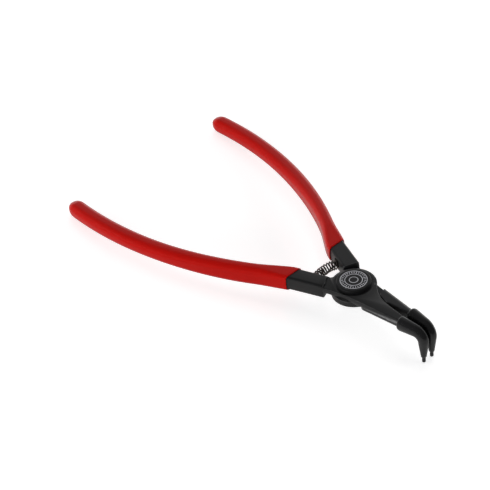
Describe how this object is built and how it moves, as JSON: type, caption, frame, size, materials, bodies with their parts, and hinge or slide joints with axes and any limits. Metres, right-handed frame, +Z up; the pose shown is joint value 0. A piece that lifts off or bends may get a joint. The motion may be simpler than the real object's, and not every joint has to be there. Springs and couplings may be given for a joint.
{
  "type": "circlip pliers",
  "caption": "Hand pliers for outer rings: two lap-jointed steel levers with bent-down pin tips, a big rivet, an opening spring and dipped plastic coats.",
  "frame": {"origin": "centre of the tool's bounding box in plan, on the surface that it rests on", "axes": "+X from the handle ends towards the bent tips, +Y towards the far lever, +Z up from the surface"},
  "size_m": [0.1708, 0.091, 0.0166],
  "materials": {
    "tool_steel": "black burnished tool steel, satin, fine grain, edges a little brighter",
    "rivet_steel": "black burnished steel, turned head with a rounded rim, ring of plain pale ticks",
    "spring_wire": "bare drawn spring wire, slightly brown",
    "dipped_coat": "red dipped soft plastic, semi-gloss"
  },
  "bodies": {
    "near_side": {"near_lever": "tool_steel", "near_grip": "dipped_coat", "joint_rivet": "rivet_steel", "opening_spring": "spring_wire"},
    "far_side": {"far_lever": "tool_steel", "far_grip": "dipped_coat"}
  },
  "joints": [
    {"name": "lever_hinge", "type": "hinge", "parent": "near_side", "child": "far_side", "pos_m": [0.04392, 0, 0.01148], "axis": [-0.0633, 0, 0.998], "range_deg": [0, 21], "stiffness_Nm_per_rad": 0.8, "springref_deg": -9.74, "deforming": ["opening_spring"]}
  ]
}
